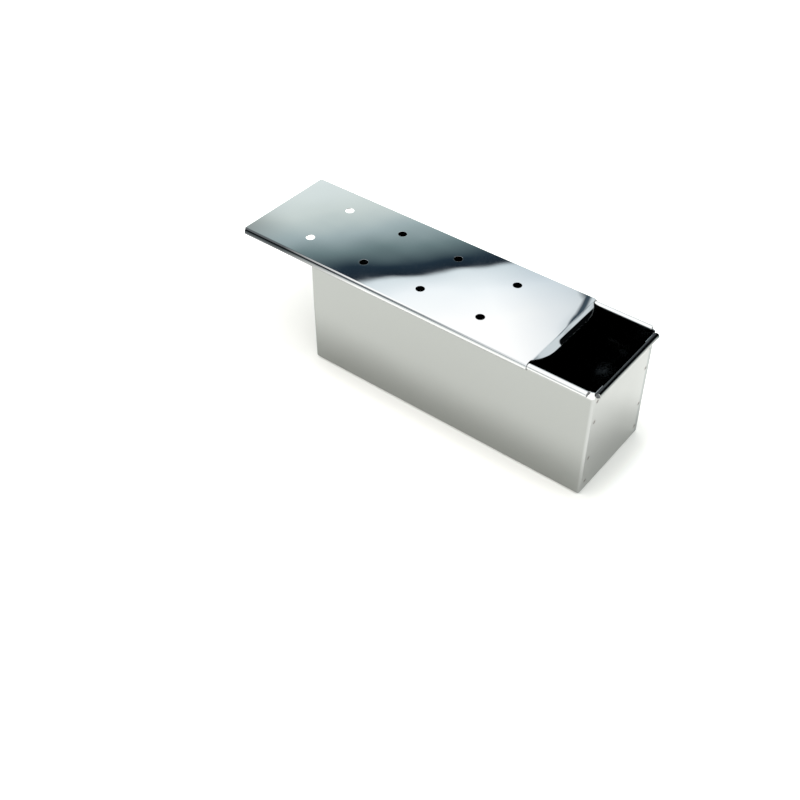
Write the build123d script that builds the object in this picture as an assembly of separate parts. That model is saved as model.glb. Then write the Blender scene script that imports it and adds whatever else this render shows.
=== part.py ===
from build123d import *
import os
from math import asin, cos, degrees, radians, sin, tan

# Pullman loaf pan in mirror-polished stainless sheet, with a flat lid that slides along its long rims.
# Origin: centre of the pan's base. +X runs along the pan, +Y towards its back wall, +Z up. Millimetres.
# The lid is drawn where it rests half open, drawn back over the left end.

# Pan
pan_length = 300.0
pan_width = 101.6
rim_top = 118.5
sheet = 0.8
pan_bend_radius = 2.6
overrun = 5.0

# Rolled rims and the wires inside them
side_bead_diameter = 5.6
side_bead_setback = 5.0
side_bead_relief = 0.3
end_bead_diameter = 5.6
end_rim_drop = 1.2
corner_drop = 1.0
wire_clearance = 0.05
wire_setback = 0.2
curl_seam_gap = 0.25

# End seams: each end panel lies flush in front of set-back flanges, held by rows of spot welds
flange_width = 16.0
flange_height = 13.0
flange_corner_radius = 6.0
panel_margin = 0.1
panel_corner_radius = 2.0
weld_radius = 1.5
weld_inset = 8.0
weld_lowest = 11.5
weld_rim_gap = 10.5
weld_dish_depth = 0.3
weld_height_shares = (0.0, 0.3, 0.75, 1.0)

# Lid
lid_sheet = 0.8
lid_length = 318.0
lid_left = -229.0
lid_clearance = 0.3
lid_bend_radius = 1.4
lid_shoulder_angle = 58.0
lid_roll_angle = 175.0
corner_slit = 0.6
stop_lip_depth = 7.4
stop_lip_margin = 0.5
tongue_reach = 8.8
tongue_angle = 8.0
tongue_bend_radius = 8.0
tongue_side_gap = 1.0
tongue_end_width = 49.0
tongue_corner_radius = 39.0
tongue_clearance = 0.4
hole_radius = 4.25
hole_pitch = 64.3
hole_row_spacing = 57.0
first_hole = 60.2
hole_columns = 4
hole_rows = 2

# Worked out from the sizes above
half_length = pan_length / 2
half_width = pan_width / 2
inner_half_width = half_width - sheet
flange_face = half_length - sheet
side_bead_radius = side_bead_diameter / 2
side_bead_y = inner_half_width + side_bead_radius
side_bead_z = rim_top - side_bead_radius
side_bead_length = pan_length - 2 * side_bead_setback
end_bead_radius = end_bead_diameter / 2
end_bead_x = flange_face + end_bead_radius
end_rim_top = rim_top - end_rim_drop
end_bead_z = end_rim_top - end_bead_radius
end_face_half_width = half_width - pan_bend_radius
panel_half_width = end_face_half_width - panel_margin
weld_highest = end_bead_z - weld_rim_gap
corner_top = rim_top - corner_drop

lid_under = rim_top + lid_clearance
lid_top = lid_under + lid_sheet
lid_roll_radius = lid_top - side_bead_z
lid_flat_half_width = side_bead_y + (lid_roll_radius - lid_bend_radius) * tan(radians(lid_shoulder_angle / 2))
lid_right = lid_left + lid_length
channel_left = lid_left + lid_bend_radius + corner_slit
tongue_half_width = inner_half_width - tongue_side_gap


def curl(bead_radius, wall):
    """Section of a rolled rim: it leaves the wall on the left, goes over the top and tucks under."""
    bore_radius = bead_radius - wall
    tuck = degrees(asin((bore_radius - curl_seam_gap) / bead_radius))
    turn = -(270 + tuck)
    outer = CenterArc((0, 0), bead_radius, 180, turn)
    inner = CenterArc((0, 0), bore_radius, 180, turn)
    ends = [Line(outer @ 0, inner @ 0), Line(outer @ 1, inner @ 1)]
    return make_face([outer, inner] + ends)


def tub(length, width, base, top, radius):
    """Open-topped block with its upright and lower edges rounded."""
    block = Box(length, width, top - base, align=(Align.CENTER, Align.CENTER, Align.MIN))
    rounded = block.edges().filter_by(Axis.Z) + block.faces().sort_by(Axis.Z)[0].edges()
    return Pos(0, 0, base) * fillet(rounded, radius)


def weld_places(end, side):
    """Centres of one row of hand-spaced spot welds, on the outer face of the end panel."""
    span = weld_highest - weld_lowest
    y = side * (half_width - weld_inset)
    return [(end * half_length, y, weld_lowest + share * span) for share in weld_height_shares]


def weld_bores(end, side):
    """Through the end panel, where each weld has melted it onto the flange behind."""
    bores = Part()
    for place in weld_places(end, side):
        bores += Pos(place) * Rot(0, 90, 0) * Cylinder(weld_radius, 2 * (sheet + overrun))
    return bores


def end_outline(outline_half_width, lowest):
    """Upright outline with round lower corners, as high as the middle of the end bead."""
    height = end_bead_z - lowest
    outline = RectangleRounded(2 * outline_half_width, 2 * height, panel_corner_radius)
    lower_half = Rectangle(2 * outline_half_width, 2 * height, align=(Align.CENTER, Align.MAX))
    return Plane.YZ * Pos(0, end_bead_z) * (outline & lower_half)


def build_trough():
    """Floor and long walls bent from one sheet; its flanges step back by one sheet behind the end panels."""
    skin = tub(pan_length, pan_width, 0, corner_top, pan_bend_radius)
    room = tub(
        pan_length - 4 * sheet,
        pan_width - 2 * sheet,
        sheet,
        corner_top + overrun,
        pan_bend_radius - sheet,
    )
    trough = skin - room
    for seat in (1, -1):
        recess = extrude(end_outline(end_face_half_width, pan_bend_radius), seat * (sheet + overrun))
        trough -= Pos(seat * flange_face, 0, 0) * recess

    window_width = pan_width - 2 * flange_width
    window_height = 2 * (corner_top - flange_height)
    window = RectangleRounded(window_width, window_height, flange_corner_radius)
    window_centre = flange_height + window_height / 2
    trough -= extrude(Plane.YZ * Pos(0, window_centre) * window, pan_length, both=True)

    shoulder_width = 2 * (tongue_half_width + tongue_clearance)
    shoulder_height = corner_top - end_bead_z + overrun
    shoulder = Box(pan_length, shoulder_width, shoulder_height, align=(Align.CENTER, Align.CENTER, Align.MIN))
    trough -= Pos(0, 0, end_bead_z) * shoulder

    notch_length = side_bead_length + 2 * side_bead_relief
    notch_height = corner_top - side_bead_z + overrun
    notch = Box(notch_length, pan_width + overrun, notch_height, align=(Align.CENTER, Align.CENTER, Align.MIN))
    trough -= Pos(0, 0, side_bead_z) * notch

    section = Plane.YZ * Pos(side_bead_y, side_bead_z) * curl(side_bead_radius, sheet)
    back_bead = extrude(section, side_bead_length / 2, both=True)
    trough += back_bead
    return trough + mirror(back_bead, Plane.XZ)


def build_right_panel():
    """Right end wall: a plain sheet whose top edge is rolled outwards below the level of the side rims."""
    wall = extrude(end_outline(panel_half_width, pan_bend_radius + panel_margin), sheet)
    panel = Pos(flange_face, 0, 0) * wall

    section = Plane.XZ * Pos(end_bead_x, end_bead_z) * curl(end_bead_radius, sheet)
    panel += extrude(section, panel_half_width, both=True)

    for side in (1, -1):
        panel -= weld_bores(1, side)
    return panel


def build_weld_row(end, side):
    """Spot welds as small slugs seated on the flange, dished where the electrode pressed."""
    seated = (Align.CENTER, Align.CENTER, Align.MAX)
    slug = Cylinder(weld_radius, sheet, align=seated) - Cone(0, weld_radius, weld_dish_depth, align=seated)
    slugs = Part()
    for place in weld_places(end, side):
        slugs += Pos(place) * Rot(0, end * 90, 0) * slug
    return slugs


def build_side_wire(side):
    """Stiffening wire inside the rolled rim of a long wall."""
    radius = side_bead_radius - sheet - wire_clearance
    wire = Rot(0, 90, 0) * Cylinder(radius, side_bead_length - 2 * wire_setback)
    return Pos(0, side * side_bead_y, side_bead_z) * wire


def build_end_wire(end):
    """Stiffening wire inside the rolled rim of an end panel."""
    radius = end_bead_radius - sheet - wire_clearance
    wire = Rot(90, 0, 0) * Cylinder(radius, 2 * (panel_half_width - wire_setback))
    return Pos(end * end_bead_x, 0, end_bead_z) * wire


def lid_half_section():
    """From the middle of the flat top, over a slanted shoulder, to the roll that wraps round the side rim."""
    bend_centre = (lid_flat_half_width, lid_top - lid_bend_radius)
    roll_centre = (side_bead_y, side_bead_z)
    shoulder_start = 90 - lid_shoulder_angle
    roll_turn = lid_roll_angle - lid_shoulder_angle
    outer_bend = CenterArc(bend_centre, lid_bend_radius, 90, -lid_shoulder_angle)
    inner_bend = CenterArc(bend_centre, lid_bend_radius - lid_sheet, 90, -lid_shoulder_angle)
    outer_roll = CenterArc(roll_centre, lid_roll_radius, shoulder_start, -roll_turn)
    inner_roll = CenterArc(roll_centre, lid_roll_radius - lid_sheet, shoulder_start, -roll_turn)
    return make_face(
        [
            Line((0, lid_top), outer_bend @ 0),
            outer_bend,
            Line(outer_bend @ 1, outer_roll @ 0),
            outer_roll,
            Line(outer_roll @ 1, inner_roll @ 1),
            inner_roll,
            Line(inner_roll @ 0, inner_bend @ 1),
            inner_bend,
            Line(inner_bend @ 0, (0, lid_under)),
            Line((0, lid_under), (0, lid_top)),
        ]
    )


def lid_channel():
    """Flat top with both long edges rolled down and round, so that they run under the side rims."""
    half = extrude(Plane.YZ * lid_half_section(), lid_right - channel_left)
    return Pos(channel_left, 0, 0) * (half + mirror(half, Plane.XZ))


def lid_stop_lip():
    """Left edge turned straight down: it meets the pan's left rim when the lid is shut."""
    bend_centre = (lid_left + lid_bend_radius, lid_top - lid_bend_radius)
    inner_radius = lid_bend_radius - lid_sheet
    foot = lid_top - stop_lip_depth
    outer_bend = CenterArc(bend_centre, lid_bend_radius, 90, 90)
    inner_bend = CenterArc(bend_centre, inner_radius, 90, 90)
    section = make_face(
        [
            outer_bend,
            Line(outer_bend @ 1, (lid_left, foot)),
            Line((lid_left, foot), (lid_left + lid_sheet, foot)),
            Line((lid_left + lid_sheet, foot), inner_bend @ 1),
            inner_bend,
            Line(inner_bend @ 0, (channel_left, lid_under)),
            Line((channel_left, lid_under), (channel_left, lid_top)),
            Line((channel_left, lid_top), outer_bend @ 0),
        ]
    )
    reach = lid_flat_half_width - stop_lip_margin
    return extrude(Plane.XZ * section, reach, both=True)


def lid_tongue():
    """Right edge between the rolled sides: a pull tongue, bent gently down, with a broad rounded end."""
    turn = radians(tongue_angle)
    centre = (lid_right, lid_under - tongue_bend_radius)
    under_bend = CenterArc(centre, tongue_bend_radius, 90, -tongue_angle)
    over_bend = CenterArc(centre, tongue_bend_radius + lid_sheet, 90, -tongue_angle)
    flat_length = (tongue_reach - tongue_bend_radius * sin(turn)) / cos(turn)
    under_flat = PolarLine(under_bend @ 1, flat_length, -tongue_angle)
    over_flat = PolarLine(over_bend @ 1, flat_length, -tongue_angle)
    ends = [Line(under_bend @ 0, over_bend @ 0), Line(under_flat @ 1, over_flat @ 1)]
    section = make_face([under_bend, over_bend, under_flat, over_flat] + ends)
    strip = extrude(Plane.XZ * section, tongue_half_width, both=True)

    tip = tongue_reach + lid_sheet * sin(turn)
    depth = 2 * tongue_corner_radius
    outline = RectangleRounded(2 * depth, tongue_end_width + depth, tongue_corner_radius)
    cutter = extrude(outline, lid_top - end_rim_top + overrun)
    return strip & Pos(lid_right + tip - depth, 0, end_rim_top) * cutter


def lid_holes():
    """Two rows of vent holes through the flat top."""
    holes = Part()
    for column in range(hole_columns):
        for row in range(hole_rows):
            x = lid_left + first_hole + column * hole_pitch
            y = (row - (hole_rows - 1) / 2) * hole_row_spacing
            holes += Pos(x, y, lid_top) * Cylinder(hole_radius, 2 * (lid_sheet + lid_clearance))
    return holes


def build_lid():
    return lid_channel() + lid_stop_lip() + lid_tongue() - lid_holes()


right_panel = build_right_panel()
nodes = {
    "trough": build_trough(),
    "right_end_panel": right_panel,
    "left_end_panel": mirror(right_panel, Plane.YZ),
    "front_rim_wire": build_side_wire(-1),
    "back_rim_wire": build_side_wire(1),
    "left_rim_wire": build_end_wire(-1),
    "right_rim_wire": build_end_wire(1),
    "spot_welds_front_left": build_weld_row(-1, -1),
    "spot_welds_front_right": build_weld_row(1, -1),
    "spot_welds_back_left": build_weld_row(-1, 1),
    "spot_welds_back_right": build_weld_row(1, 1),
    "sliding_lid": build_lid(),
}

os.makedirs("parts", exist_ok=True)
for name, shape in nodes.items():
    export_step(shape, f"parts/{name}.step")
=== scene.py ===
import math

import bpy
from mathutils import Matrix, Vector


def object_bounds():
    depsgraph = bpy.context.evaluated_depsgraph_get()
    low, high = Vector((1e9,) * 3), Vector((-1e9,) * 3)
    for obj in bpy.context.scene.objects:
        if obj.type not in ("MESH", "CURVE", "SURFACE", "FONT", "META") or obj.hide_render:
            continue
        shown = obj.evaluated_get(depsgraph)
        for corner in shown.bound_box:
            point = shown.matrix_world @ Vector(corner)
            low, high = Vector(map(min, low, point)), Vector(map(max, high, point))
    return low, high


# Pullman loaf pan in mirror-polished stainless sheet, on a pale studio floor.
# Metres. +X runs along the pan, +Y towards its back wall, +Z up.
# The origin is the centre of the pan's base.

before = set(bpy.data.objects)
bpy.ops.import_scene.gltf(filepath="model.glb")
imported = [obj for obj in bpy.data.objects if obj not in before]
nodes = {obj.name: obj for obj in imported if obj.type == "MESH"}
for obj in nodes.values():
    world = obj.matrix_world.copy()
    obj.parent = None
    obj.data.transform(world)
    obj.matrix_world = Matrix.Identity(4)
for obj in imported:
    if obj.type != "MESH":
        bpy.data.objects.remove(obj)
cad_low, cad_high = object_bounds()
mm = 0.001


def deselect():
    bpy.ops.object.select_all(action="DESELECT")


def linear(hex_colour):
    """sRGB hex to the linear colour that the shaders read."""
    channels = [int(hex_colour[i : i + 2], 16) / 255 for i in (1, 3, 5)]
    return tuple(c / 12.92 if c <= 0.04045 else ((c + 0.055) / 1.055) ** 2.4 for c in channels) + (1.0,)


def add_node(tree, kind, inputs=None, **settings):
    """Adds one shader node. An input given as a socket is linked, any other value is set."""
    node = tree.nodes.new(kind)
    for name, value in settings.items():
        setattr(node, name, value)
    for name, value in (inputs or {}).items():
        socket = node.inputs[name]
        if isinstance(value, bpy.types.NodeSocket):
            tree.links.new(value, socket)
        else:
            socket.default_value = value
    return node


def new_material(name):
    material = bpy.data.materials.new(name)
    material.use_nodes = True
    material.node_tree.nodes.clear()
    return material, material.node_tree


# Camera

camera_place = (0.4287, -0.6537, 0.7071)
camera_tilt = math.radians(47.325)
camera_turn = math.radians(38.171)
camera_lens = 49.857


def build_camera():
    deselect()
    bpy.ops.object.camera_add(location=camera_place, rotation=(camera_tilt, 0.0, camera_turn))
    camera = bpy.context.object
    camera.name = "camera"
    camera.data.sensor_width = 36.0
    camera.data.lens = camera_lens
    camera.data.clip_start = 0.01
    bpy.context.scene.camera = camera


# Studio, as the polished steel mirrors it: a large overhead softbox, a dark slate gap past its far edge,
# a pale backdrop past the gap, a dark flag on the right and pale walls low down all round.
# Distances are counted on a ceiling one unit above the pan: away from the camera, and to its right.

steel_reflectance = 0.55
studio_heading = math.radians(-48.0)
lowest_sight = 0.001
far_tones = [
    (1.10, "#FFFFFF"),
    (1.22, "#FFFFFF"),
    (1.29, "#F0F5F8"),
    (1.335, "#D3DDE2"),
    (1.343, "#1A242E"),
    (1.37, "#21303C"),
    (1.42, "#6A7D80"),
    (1.47, "#9CACAF"),
    (1.53, "#C6D0CE"),
    (1.65, "#DCE5E5"),
    (2.4, "#9AA5A9"),
]
side_tones = [
    (-3.45, "#3E4245"),
    (-3.2, "#8A8F93"),
    (-2.95, "#E4E6E8"),
    (-2.8, "#FFFFFF"),
    (0.36, "#FFFFFF"),
    (0.46, "#D8DEE2"),
    (0.492, "#CDD4D8"),
    (0.498, "#3A4650"),
    (0.52, "#44525C"),
    (0.526, "#C8D0D4"),
    (0.59, "#C8D0D4"),
    (0.61, "#050607"),
]
# The backdrop also shows in the corner past the gap and past the strips on the right
backdrop = "#DCE5E5"
corner_away = (1.25, 1.29)
corner_right = (0.5, 0.53)

# The dark flag on the right is a narrow strip that runs along the pan: middle, half width and blur
# are measured on the Y axis of the direction of sight
dark_flag_middle = 0.71
dark_flag_half = 0.075
dark_flag_blur = 0.03
dark_flag_start = (0.58, 0.61)
beside_dark_flag = "#C6CFD1"

small_flag_cloth = "#2C3032"
small_flags = [
    # away, right, reach, depth: one by the gap, and the camera boom straight above the pan
    (1.52, -0.02, 0.12, 0.6),
    (0.02, -0.02, 0.24, 0.7),
]

# Height of the pale walls, as the Z of the direction of sight, by bearing (0 is square to the way the
# camera looks): they stand low there, rise, and drop again straight ahead and behind
wall_rise_bearings = (0.35, 0.8)
wall_rise_heights = (0.1, 0.48)
wall_drop_bearings = (1.4, 2.5)
wall_drop = 0.18
wall_least_on_right = 0.22
wall_blur = 1.3
wall_tones = [
    (0.0, "#DCE5E5"),
    (0.15, "#C6CFD1"),
    (0.35, "#9AA5A9"),
    (0.6, "#7C888D"),
]


def tone_ramp(tree, position, tones):
    """Colour ramp along one measure, from a few tones and their places on it."""
    low = tones[0][0]
    high = tones[-1][0]
    share = add_node(
        tree, "ShaderNodeMapRange", {"Value": position, "From Min": low, "From Max": high}
    )
    ramp = add_node(tree, "ShaderNodeValToRGB", {"Fac": share.outputs["Result"]})
    elements = ramp.color_ramp.elements
    while len(elements) < len(tones):
        elements.new(0.5)
    for element, (place, tone) in zip(elements, tones):
        element.position = (place - low) / (high - low)
    for element, (place, tone) in zip(elements, tones):
        element.color = linear(tone)
    return ramp.outputs["Color"]


def ceiling_place(tree, sight, axes):
    """Where a line of sight meets the ceiling: away from the camera, and to its right."""
    height = add_node(
        tree, "ShaderNodeMath", {0: axes.outputs["Z"], 1: lowest_sight}, operation="MAXIMUM"
    ).outputs[0]
    ways = []
    for turn in (0.0, math.radians(90.0)):
        heading = (math.sin(studio_heading + turn), math.cos(studio_heading + turn), 0.0)
        along = add_node(
            tree, "ShaderNodeVectorMath", {0: sight, 1: heading}, operation="DOT_PRODUCT"
        )
        way = add_node(
            tree, "ShaderNodeMath", {0: along.outputs["Value"], 1: height}, operation="DIVIDE"
        )
        ways.append(way.outputs[0])
    return ways


def add_corner_backdrop(tree, room, away, right):
    past_gap = add_node(
        tree,
        "ShaderNodeMapRange",
        {"Value": away, "From Min": corner_away[0], "From Max": corner_away[1]},
    )
    past_strips = add_node(
        tree,
        "ShaderNodeMapRange",
        {"Value": right, "From Min": corner_right[0], "From Max": corner_right[1]},
    )
    corner = add_node(
        tree,
        "ShaderNodeMath",
        {0: past_gap.outputs[0], 1: past_strips.outputs[0]},
        operation="MULTIPLY",
    )
    return add_node(
        tree,
        "ShaderNodeMix",
        {"Factor": corner.outputs[0], 6: room, 7: linear(backdrop)},
        data_type="RGBA",
    ).outputs[2]


def narrow_dark_flag(tree, room, axes, right):
    """Past the long edges of the dark flag the pale studio shows."""
    off_middle = add_node(
        tree, "ShaderNodeMath", {0: axes.outputs["Y"], 1: dark_flag_middle}, operation="SUBTRACT"
    )
    off_middle = add_node(tree, "ShaderNodeMath", {0: off_middle.outputs[0]}, operation="ABSOLUTE")
    past_edge = add_node(
        tree,
        "ShaderNodeMapRange",
        {
            "Value": off_middle.outputs[0],
            "From Min": dark_flag_half,
            "From Max": dark_flag_half + dark_flag_blur,
        },
    )
    past_start = add_node(
        tree,
        "ShaderNodeMapRange",
        {"Value": right, "From Min": dark_flag_start[0], "From Max": dark_flag_start[1]},
    )
    beside = add_node(
        tree,
        "ShaderNodeMath",
        {0: past_edge.outputs[0], 1: past_start.outputs[0]},
        operation="MULTIPLY",
    )
    return add_node(
        tree,
        "ShaderNodeMix",
        {"Factor": beside.outputs[0], 6: room, 7: linear(beside_dark_flag)},
        data_type="RGBA",
    ).outputs[2]


def add_small_flags(tree, room, away, right):
    ceiling = add_node(tree, "ShaderNodeCombineXYZ", {"X": away, "Y": right}).outputs[0]
    for flag_away, flag_right, reach, depth in small_flags:
        gap = add_node(
            tree,
            "ShaderNodeVectorMath",
            {0: ceiling, 1: (flag_away, flag_right, 0.0)},
            operation="DISTANCE",
        )
        share = add_node(
            tree,
            "ShaderNodeMapRange",
            {
                "Value": gap.outputs["Value"],
                "From Min": 0.0,
                "From Max": reach,
                "To Min": depth,
                "To Max": 0.0,
            },
            interpolation_type="SMOOTHSTEP",
        )
        room = add_node(
            tree,
            "ShaderNodeMix",
            {"Factor": share.outputs["Result"], 6: room, 7: linear(small_flag_cloth)},
            data_type="RGBA",
        ).outputs[2]
    return room


def add_pale_walls(tree, room, axes, away, right):
    """The pale walls stand low behind the dark flag and opposite it, and higher everywhere else."""
    spread = add_node(tree, "ShaderNodeMath", {0: away, 1: right}, operation="DIVIDE")
    bearing = add_node(
        tree, "ShaderNodeMath", {0: spread.outputs[0]}, operation="ABSOLUTE"
    ).outputs[0]
    rise = add_node(
        tree,
        "ShaderNodeMapRange",
        {
            "Value": bearing,
            "From Min": wall_rise_bearings[0],
            "From Max": wall_rise_bearings[1],
            "To Min": wall_rise_heights[0],
            "To Max": wall_rise_heights[1],
        },
    )
    drop = add_node(
        tree,
        "ShaderNodeMapRange",
        {
            "Value": bearing,
            "From Min": wall_drop_bearings[0],
            "From Max": wall_drop_bearings[1],
            "To Max": wall_drop,
        },
    )
    wall_low = add_node(
        tree, "ShaderNodeMath", {0: rise.outputs[0], 1: drop.outputs[0]}, operation="SUBTRACT"
    )
    on_right = add_node(tree, "ShaderNodeMath", {0: right, 1: 0.0}, operation="GREATER_THAN")
    least = add_node(
        tree,
        "ShaderNodeMath",
        {0: on_right.outputs[0], 1: wall_least_on_right},
        operation="MULTIPLY",
    )
    wall_low = add_node(
        tree, "ShaderNodeMath", {0: wall_low.outputs[0], 1: least.outputs[0]}, operation="MAXIMUM"
    )
    wall_high = add_node(
        tree, "ShaderNodeMath", {0: wall_low.outputs[0], 1: wall_blur}, operation="MULTIPLY"
    )
    above = add_node(
        tree,
        "ShaderNodeMapRange",
        {
            "Value": axes.outputs["Z"],
            "From Min": wall_low.outputs[0],
            "From Max": wall_high.outputs[0],
        },
    )
    return add_node(
        tree,
        "ShaderNodeMix",
        {
            "Factor": above.outputs["Result"],
            6: tone_ramp(tree, axes.outputs["Z"], wall_tones),
            7: room,
        },
        data_type="RGBA",
    ).outputs[2]


def build_world():
    world = bpy.data.worlds.new("studio")
    bpy.context.scene.world = world
    world.use_nodes = True
    tree = world.node_tree
    tree.nodes.clear()
    sight = add_node(tree, "ShaderNodeTexCoord").outputs["Generated"]
    axes = add_node(tree, "ShaderNodeSeparateXYZ", {"Vector": sight})
    away, right = ceiling_place(tree, sight, axes)
    far = tone_ramp(tree, away, far_tones)
    side = tone_ramp(tree, right, side_tones)
    room = add_node(
        tree,
        "ShaderNodeMix",
        {"Factor": 1.0, 6: far, 7: side},
        data_type="RGBA",
        blend_type="MULTIPLY",
    ).outputs[2]
    room = add_corner_backdrop(tree, room, away, right)
    room = narrow_dark_flag(tree, room, axes, right)
    room = add_small_flags(tree, room, away, right)
    room = add_pale_walls(tree, room, axes, away, right)
    # Bright enough that the steel mirrors the tones as they are written above
    background = add_node(
        tree, "ShaderNodeBackground", {"Color": room, "Strength": 1 / steel_reflectance}
    )
    add_node(tree, "ShaderNodeOutputWorld", {"Surface": background.outputs["Background"]})


floor_size = 6.0
floor_drop = 0.02 * mm
# The box over the pan and the lid's overhang, where the floor's painted glow is left out as a painted
# shadow: middle and half sizes
shade_middle = (-39.5 * mm, 0.0, 0.0)
shade_half = (189.5 * mm, 50.0 * mm, 1.0)
floor_white = "#F7F5F0"
floor_roughness = 0.9
floor_painted_glow = 0.72
glow_starts = (2.0 * mm, 60.0 * mm)
glow_ends = (180.0 * mm, 420.0 * mm)


def build_floor():
    deselect()
    bpy.ops.mesh.primitive_plane_add(size=floor_size, location=(0.0, 0.0, cad_low.z - floor_drop))
    floor = bpy.context.object
    floor.name = "studio_floor"
    # Matt white acrylic: soft and almost without gloss. A painted glow brightens it around
    # the pan; it is left out close to its foot and under the lid's overhang, as a painted shadow
    material, tree = new_material("matt_white_floor_painted_glow")
    place = add_node(tree, "ShaderNodeTexCoord").outputs["Object"]
    centred = add_node(
        tree, "ShaderNodeVectorMath", {0: place, 1: shade_middle}, operation="SUBTRACT"
    )
    spread = add_node(
        tree, "ShaderNodeVectorMath", {0: centred.outputs[0]}, operation="ABSOLUTE"
    )
    past = add_node(
        tree, "ShaderNodeVectorMath", {0: spread.outputs[0], 1: shade_half}, operation="SUBTRACT"
    )
    beyond = add_node(
        tree, "ShaderNodeVectorMath", {0: past.outputs[0], 1: (0.0, 0.0, 0.0)}, operation="MAXIMUM"
    )
    reach = add_node(tree, "ShaderNodeVectorMath", {0: beyond.outputs[0]}, operation="LENGTH")
    near = add_node(
        tree,
        "ShaderNodeMapRange",
        {
            "Value": reach.outputs["Value"],
            "From Min": glow_starts[0],
            "From Max": glow_starts[1],
            "To Max": floor_painted_glow,
        },
        interpolation_type="SMOOTHSTEP",
    )
    far = add_node(
        tree,
        "ShaderNodeMapRange",
        {
            "Value": reach.outputs["Value"],
            "From Min": glow_ends[0],
            "From Max": glow_ends[1],
            "To Min": 1.0,
            "To Max": 0.0,
        },
        interpolation_type="SMOOTHSTEP",
    )
    glow = add_node(
        tree, "ShaderNodeMath", {0: near.outputs[0], 1: far.outputs[0]}, operation="MULTIPLY"
    )
    shader = add_node(
        tree,
        "ShaderNodeBsdfPrincipled",
        {
            "Base Color": linear(floor_white),
            "Roughness": floor_roughness,
            "Emission Color": linear("#FFFFFF"),
            "Emission Strength": glow.outputs[0],
        },
    )
    add_node(tree, "ShaderNodeOutputMaterial", {"Surface": shader.outputs["BSDF"]})
    floor.data.materials.append(material)


# Sizes of the pan that the finishes follow

inner_half_length = 149.4 * mm
inner_half_width = 50.4 * mm
inner_floor = 0.4 * mm
inner_top = 120.0 * mm
inner_bend_radius = 2.2 * mm
end_rim_middle = 152.4 * mm
end_rim_foot = 112.2 * mm
corner_bend = (147.6 * mm, 149.2 * mm)
back_seam = (42.5 * mm, 45.0 * mm)
front_fold = (-53.2 * mm, -54.2 * mm)
front_fold_reflection = (-85.0 * mm, -178.0 * mm)
weld_y = 42.8 * mm
weld_heights = (11.5 * mm, 39.25 * mm, 80.875 * mm, 104.0 * mm)
weld_radius = 1.5 * mm
weld_ring_radius = 2.2 * weld_radius
weld_middle_radius = 0.3 * weld_radius
tongue_start = 89.0 * mm

# Sheet steel

trough_buckle = 0.7 * mm
panel_buckle = 1.2 * mm
lid_buckle = 0.17 * mm
# Below these heights the walls get the darker steel, painted shade
trough_shaded_below = 111.0 * mm
panel_shaded_below = 130.0 * mm
buckle_spacing = 75.0 * mm
mark_length = 40.0 * mm
mark_spacing = 0.6 * mm
mark_depth = 0.0004 * mm
wipe_size = 30.0 * mm
wipe_contrast = (0.4, 0.75)
cut_edge_radius = 0.2 * mm
shade_blend = 2.0 * mm
polish_roughness = (0.012, 0.03)
inner_roughness = 0.06
corner_painted_highlight = 0.3
seam_painted_shade = 0.9
fold_painted_reflection = 0.95
ring_strength = 0.5
bright_steel = ("#C5C6C5", "#C2C3C4")
painted_shade_steel = "#929491"
inner_painted_shade_steel = "#8E9294"
rim_painted_dark_reflection = "#3A3C3E"
seam_shade_colour = "#6C7472"
fold_reflection_colour = "#363B3E"
heat_ring_colour = "#6A665F"

# Spot welds and wire

weld_middle_colour = "#807E7A"
weld_edge_colour = "#55534E"
weld_grain = 0.3 * mm
weld_grain_depth = 0.02 * mm
weld_roughness = 0.38
wire_colours = ("#5A5C5F", "#3F4144")
wire_line_spacing = 0.25 * mm
wire_line_depth = 0.01 * mm
wire_roughness = 0.32


def distance_from_weld(tree, axes):
    """Distance to the nearest spot weld, on either end wall."""
    across = add_node(tree, "ShaderNodeMath", {0: axes.outputs["Y"]}, operation="ABSOLUTE")
    across = add_node(
        tree, "ShaderNodeMath", {0: across.outputs[0], 1: weld_y}, operation="SUBTRACT"
    )
    nearest = 1.0
    for weld_height in weld_heights:
        above = add_node(
            tree, "ShaderNodeMath", {0: axes.outputs["Z"], 1: weld_height}, operation="SUBTRACT"
        )
        gap = add_node(tree, "ShaderNodeMath", {0: above.outputs[0]}, operation="ABSOLUTE")
        nearest = add_node(
            tree, "ShaderNodeMath", {0: gap.outputs[0], 1: nearest}, operation="MINIMUM"
        ).outputs[0]
    offset = add_node(tree, "ShaderNodeCombineXYZ", {"X": across.outputs[0], "Y": nearest})
    return add_node(
        tree, "ShaderNodeVectorMath", {0: offset.outputs[0]}, operation="LENGTH"
    ).outputs["Value"]


def inside_pan(tree, place):
    """1 on the pan's inner faces, 0 on the outer ones: a rounded box runs midway through the sheet."""
    middle = (0.0, 0.0, (inner_floor + inner_top) / 2)
    straight = (
        inner_half_length - inner_bend_radius,
        inner_half_width - inner_bend_radius,
        (inner_top - inner_floor) / 2 - inner_bend_radius,
    )
    offset = add_node(tree, "ShaderNodeVectorMath", {0: place, 1: middle}, operation="SUBTRACT")
    spread = add_node(tree, "ShaderNodeVectorMath", {0: offset.outputs[0]}, operation="ABSOLUTE")
    past = add_node(
        tree, "ShaderNodeVectorMath", {0: spread.outputs[0], 1: straight}, operation="SUBTRACT"
    )
    beyond = add_node(
        tree, "ShaderNodeVectorMath", {0: past.outputs[0], 1: (0.0, 0.0, 0.0)}, operation="MAXIMUM"
    )
    reach = add_node(tree, "ShaderNodeVectorMath", {0: beyond.outputs[0]}, operation="LENGTH")
    return add_node(
        tree,
        "ShaderNodeMath",
        {0: reach.outputs["Value"], 1: inner_bend_radius},
        operation="LESS_THAN",
    ).outputs[0]


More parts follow.
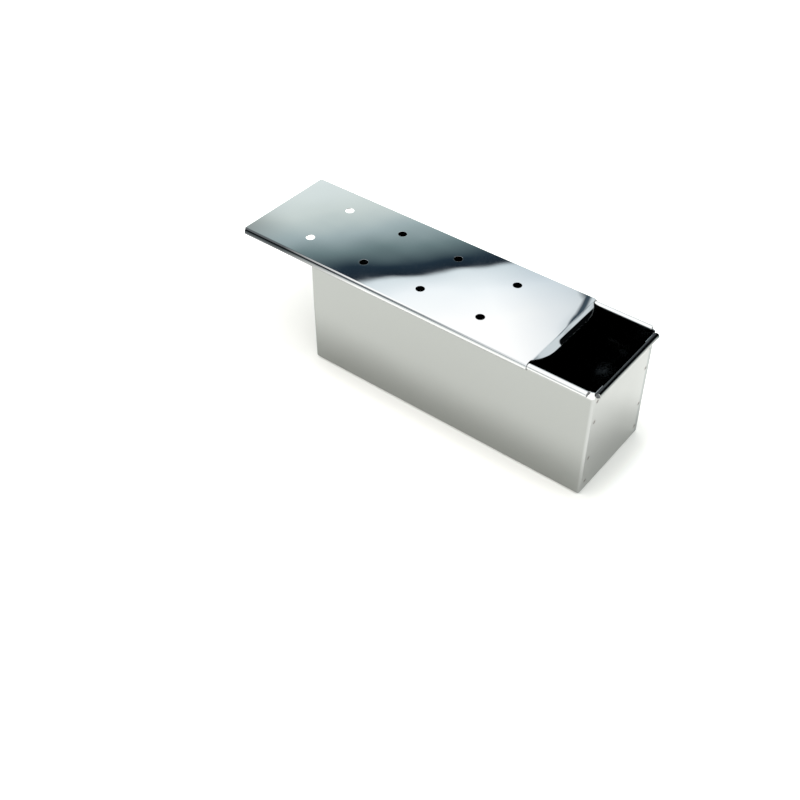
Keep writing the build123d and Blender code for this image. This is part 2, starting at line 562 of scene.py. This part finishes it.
def inner_side_of_rim(tree, axes):
    """1 on the side of an end wall's rolled rim that faces into the pan."""
    along = add_node(tree, "ShaderNodeMath", {0: axes.outputs["X"]}, operation="ABSOLUTE")
    inward = add_node(
        tree, "ShaderNodeMath", {0: along.outputs[0], 1: end_rim_middle}, operation="LESS_THAN"
    )
    above = add_node(
        tree, "ShaderNodeMath", {0: axes.outputs["Z"], 1: end_rim_foot}, operation="GREATER_THAN"
    )
    return add_node(
        tree, "ShaderNodeMath", {0: inward.outputs[0], 1: above.outputs[0]}, operation="MULTIPLY"
    ).outputs[0]


def tongue_droop(tree, axes):
    """Height that the lid's right end loses beyond its plain bend: bent by hand, more at the back."""
    stretches = [
        # start and end along the lid, y where it sets in and is full, height lost at the end, power
        (80.0 * mm, tongue_start, -10.0 * mm, 25.0 * mm, 0.21 * mm, 2.0),
        (90.0 * mm, 93.2 * mm, 0.0, 20.0 * mm, -0.11 * mm, 1.0),
        (93.2 * mm, 98.5 * mm, -18.0 * mm, -6.0 * mm, 0.37 * mm, 1.0),
    ]
    total = 0.0
    for start, end, faint, full, loss, power in stretches:
        along = add_node(
            tree,
            "ShaderNodeMapRange",
            {"Value": axes.outputs["X"], "From Min": start, "From Max": end},
        )
        curve = add_node(
            tree, "ShaderNodeMath", {0: along.outputs["Result"], 1: power}, operation="POWER"
        )
        side = add_node(
            tree,
            "ShaderNodeMapRange",
            {"Value": axes.outputs["Y"], "From Min": faint, "From Max": full},
            interpolation_type="SMOOTHSTEP",
        )
        drop = add_node(
            tree,
            "ShaderNodeMath",
            {0: curve.outputs[0], 1: side.outputs["Result"]},
            operation="MULTIPLY",
        )
        total = add_node(
            tree,
            "ShaderNodeMath",
            {0: drop.outputs[0], 1: -loss, 2: total},
            operation="MULTIPLY_ADD",
        ).outputs[0]
    return total


def painted_reflection_in_fold(tree, axes):
    """Share of painted dark reflection in the lid's front fold: none at its middle, most at the left
    end.
    """
    across = add_node(
        tree,
        "ShaderNodeMapRange",
        {"Value": axes.outputs["Y"], "From Min": front_fold[0], "From Max": front_fold[1]},
    )
    along = add_node(
        tree,
        "ShaderNodeMapRange",
        {
            "Value": axes.outputs["X"],
            "From Min": front_fold_reflection[0],
            "From Max": front_fold_reflection[1],
            "To Max": fold_painted_reflection,
        },
    )
    return add_node(
        tree, "ShaderNodeMath", {0: across.outputs[0], 1: along.outputs[0]}, operation="MULTIPLY"
    ).outputs[0]


def sheet_relief(tree, place, axes, buckle_depth, tongue):
    """Height of the sheet's surface: buckles, polishing marks and, on the lid, the tongue's droop."""
    buckle = add_node(
        tree, "ShaderNodeTexNoise", {"Vector": place, "Scale": 1 / buckle_spacing, "Detail": 1.0}
    )
    # The polishing marks are coarser than the real ones, so that they show
    grain = add_node(
        tree,
        "ShaderNodeVectorMath",
        {0: place, 1: (1 / mark_length, 1 / mark_spacing, 1 / mark_spacing)},
        operation="MULTIPLY",
    )
    marks = add_node(
        tree, "ShaderNodeTexNoise", {"Vector": grain.outputs[0], "Scale": 1.0, "Detail": 3.0}
    )
    height = add_node(
        tree, "ShaderNodeMath", {0: buckle.outputs["Fac"], 1: buckle_depth}, operation="MULTIPLY"
    ).outputs[0]
    height = add_node(
        tree,
        "ShaderNodeMath",
        {0: marks.outputs["Fac"], 1: mark_depth, 2: height},
        operation="MULTIPLY_ADD",
    ).outputs[0]
    if tongue:
        height = add_node(
            tree, "ShaderNodeMath", {0: height, 1: tongue_droop(tree, axes)}, operation="ADD"
        ).outputs[0]
    return height


def unshaded_share(tree, axes, shaded_below, corners):
    """1 where the sheet keeps the bright steel, 0 where it gets the darker copy painted as shade; the
    corner bends keep part of the bright steel as a painted highlight.
    """
    unshaded = add_node(
        tree,
        "ShaderNodeMapRange",
        {
            "Value": axes.outputs["Z"],
            "From Min": shaded_below - shade_blend,
            "From Max": shaded_below,
        },
    ).outputs["Result"]
    if corners:
        along = add_node(tree, "ShaderNodeMath", {0: axes.outputs["X"]}, operation="ABSOLUTE")
        bend = add_node(
            tree,
            "ShaderNodeMapRange",
            {
                "Value": along.outputs[0],
                "From Min": corner_bend[0],
                "From Max": corner_bend[1],
                "To Max": corner_painted_highlight,
            },
        )
        unshaded = add_node(
            tree, "ShaderNodeMath", {0: unshaded, 1: bend.outputs[0]}, operation="MAXIMUM"
        ).outputs[0]
    return unshaded


def seam_shade_and_weld_marks(tree, axes, colour):
    # Painted shade darkens the seam at the back, as a dark line along the back corners
    back_shade = add_node(
        tree,
        "ShaderNodeMapRange",
        {
            "Value": axes.outputs["Y"],
            "From Min": back_seam[0],
            "From Max": back_seam[1],
            "To Max": seam_painted_shade,
        },
    )
    colour = add_node(
        tree,
        "ShaderNodeMix",
        {"Factor": back_shade.outputs["Result"], 6: colour, 7: linear(seam_shade_colour)},
        data_type="RGBA",
    ).outputs[2]
    # Heat of each weld leaves a dark straw ring
    ring = add_node(
        tree,
        "ShaderNodeMapRange",
        {
            "Value": distance_from_weld(tree, axes),
            "From Min": weld_radius,
            "From Max": weld_ring_radius,
            "To Min": ring_strength,
            "To Max": 0.0,
        },
    )
    return add_node(
        tree,
        "ShaderNodeMix",
        {"Factor": ring.outputs["Result"], 6: colour, 7: linear(heat_ring_colour)},
        data_type="RGBA",
    ).outputs[2]


def polished_steel(name, buckle_depth, shaded_below=0.0, inner=False, welds=False, tongue=False):
    """Mirror-polished austenitic stainless sheet. It gives the eye clean but softly wavering
    reflections, because thin sheet buckles a little between its folds, and faint lengthwise marks."""
    material, tree = new_material(name)
    place = add_node(tree, "ShaderNodeTexCoord").outputs["Object"]
    axes = add_node(tree, "ShaderNodeSeparateXYZ", {"Vector": place})
    rounded = add_node(tree, "ShaderNodeBevel", {"Radius": cut_edge_radius}, samples=4)
    bump = add_node(
        tree,
        "ShaderNodeBump",
        {
            "Strength": 1.0,
            "Distance": 1.0,
            "Height": sheet_relief(tree, place, axes, buckle_depth, tongue),
            "Normal": rounded.outputs["Normal"],
        },
    )
    wipes = add_node(
        tree, "ShaderNodeTexNoise", {"Vector": place, "Scale": 1 / wipe_size, "Detail": 4.0}
    )
    rough = add_node(
        tree,
        "ShaderNodeMapRange",
        {
            "Value": wipes.outputs["Fac"],
            "From Min": wipe_contrast[0],
            "From Max": wipe_contrast[1],
            "To Min": polish_roughness[0],
            "To Max": polish_roughness[1],
        },
    ).outputs["Result"]
    colour = add_node(
        tree,
        "ShaderNodeMix",
        {
            "Factor": wipes.outputs["Fac"],
            6: linear(bright_steel[0]),
            7: linear(bright_steel[1]),
        },
        data_type="RGBA",
    ).outputs[2]
    # Walls get a darker copy of the steel as painted shade, the trough's corner bends part of the bright
    # steel as a painted highlight; the rims and the lid keep the bright steel
    unshaded = unshaded_share(tree, axes, shaded_below, corners=inner and not welds)
    colour = add_node(
        tree,
        "ShaderNodeMix",
        {"Factor": unshaded, 6: linear(painted_shade_steel), 7: colour},
        data_type="RGBA",
    ).outputs[2]
    # The front fold under the lid's overhang gets a painted dark reflection, most at the left end
    if tongue:
        colour = add_node(
            tree,
            "ShaderNodeMix",
            {"Factor": painted_reflection_in_fold(tree, axes), 6: colour, 7: linear(fold_reflection_colour)},
            data_type="RGBA",
        ).outputs[2]
    if welds:
        colour = seam_shade_and_weld_marks(tree, axes, colour)
    if inner:
        # Inner faces are painted darker, as shade inside the pan, and only half polished
        share = inside_pan(tree, place)
        colour = add_node(
            tree,
            "ShaderNodeMix",
            {"Factor": share, 6: colour, 7: linear(inner_painted_shade_steel)},
            data_type="RGBA",
        ).outputs[2]
        if welds:
            # The side of each end rim that faces into the pan is painted dark, as a painted dark
            # reflection
            rim = inner_side_of_rim(tree, axes)
            colour = add_node(
                tree,
                "ShaderNodeMix",
                {"Factor": rim, 6: colour, 7: linear(rim_painted_dark_reflection)},
                data_type="RGBA",
            ).outputs[2]
            share = add_node(
                tree, "ShaderNodeMath", {0: share, 1: rim}, operation="MAXIMUM"
            ).outputs[0]
        rough = add_node(
            tree,
            "ShaderNodeMath",
            {0: share, 1: inner_roughness, 2: rough},
            operation="MULTIPLY_ADD",
        ).outputs[0]
    shader = add_node(
        tree,
        "ShaderNodeBsdfPrincipled",
        {
            "Base Color": colour,
            "Metallic": 1.0,
            "Roughness": rough,
            "Normal": bump.outputs["Normal"],
        },
    )
    add_node(tree, "ShaderNodeOutputMaterial", {"Surface": shader.outputs["BSDF"]})
    return material


def weld_steel(name):
    """Steel pressed and re-melted by a spot welder: a dull grey dimple with a darker, tinted edge."""
    material, tree = new_material(name)
    place = add_node(tree, "ShaderNodeTexCoord").outputs["Object"]
    axes = add_node(tree, "ShaderNodeSeparateXYZ", {"Vector": place})
    spread = add_node(
        tree,
        "ShaderNodeMapRange",
        {
            "Value": distance_from_weld(tree, axes),
            "From Min": weld_middle_radius,
            "From Max": weld_radius,
        },
    )
    colour = add_node(
        tree,
        "ShaderNodeMix",
        {
            "Factor": spread.outputs["Result"],
            6: linear(weld_middle_colour),
            7: linear(weld_edge_colour),
        },
        data_type="RGBA",
    )
    # Melted skin is grained
    grains = add_node(
        tree, "ShaderNodeTexNoise", {"Vector": place, "Scale": 1 / weld_grain, "Detail": 2.0}
    )
    bump = add_node(
        tree,
        "ShaderNodeBump",
        {"Strength": 1.0, "Distance": weld_grain_depth, "Height": grains.outputs["Fac"]},
    )
    shader = add_node(
        tree,
        "ShaderNodeBsdfPrincipled",
        {
            "Base Color": colour.outputs[2],
            "Metallic": 1.0,
            "Roughness": weld_roughness,
            "Normal": bump.outputs["Normal"],
        },
    )
    add_node(tree, "ShaderNodeOutputMaterial", {"Surface": shader.outputs["BSDF"]})
    return material


def drawn_wire(name):
    """Drawn steel wire, seen only at its cut ends inside the rims: dark from the oven, satin,
    with fine draw lines."""
    material, tree = new_material(name)
    place = add_node(tree, "ShaderNodeTexCoord").outputs["Object"]
    lines = add_node(
        tree,
        "ShaderNodeTexNoise",
        {"Vector": place, "Scale": 1 / wire_line_spacing, "Detail": 2.0},
    )
    colour = add_node(
        tree,
        "ShaderNodeMix",
        {
            "Factor": lines.outputs["Fac"],
            6: linear(wire_colours[0]),
            7: linear(wire_colours[1]),
        },
        data_type="RGBA",
    )
    bump = add_node(
        tree,
        "ShaderNodeBump",
        {"Strength": 1.0, "Distance": wire_line_depth, "Height": lines.outputs["Fac"]},
    )
    shader = add_node(
        tree,
        "ShaderNodeBsdfPrincipled",
        {
            "Base Color": colour.outputs[2],
            "Metallic": 1.0,
            "Roughness": wire_roughness,
            "Normal": bump.outputs["Normal"],
        },
    )
    add_node(tree, "ShaderNodeOutputMaterial", {"Surface": shader.outputs["BSDF"]})
    return material


def dress(node, material):
    slots = nodes[node].material_slots
    if not slots:
        nodes[node].data.materials.append(material)
    for slot in slots:
        slot.material = material


build_camera()
build_world()
build_floor()

trough_steel = polished_steel(
    "mirror_polished_stainless_trough",
    trough_buckle,
    shaded_below=trough_shaded_below,
    inner=True,
)
panel_steel = polished_steel(
    "mirror_polished_stainless_end_panel",
    panel_buckle,
    shaded_below=panel_shaded_below,
    inner=True,
    welds=True,
)
lid_steel = polished_steel("mirror_polished_stainless_lid", lid_buckle, tongue=True)
fused_steel = weld_steel("spot_welded_stainless")
wire_steel = drawn_wire("drawn_steel_wire")
for node in nodes:
    if node == "sliding_lid":
        dress(node, lid_steel)
    elif node.endswith("_panel"):
        dress(node, panel_steel)
    elif node.endswith("_wire"):
        dress(node, wire_steel)
    elif node.startswith("spot_welds"):
        dress(node, fused_steel)
    else:
        dress(node, trough_steel)

scene = bpy.context.scene
scene.view_settings.view_transform = "Standard"
scene.view_settings.look = "None"
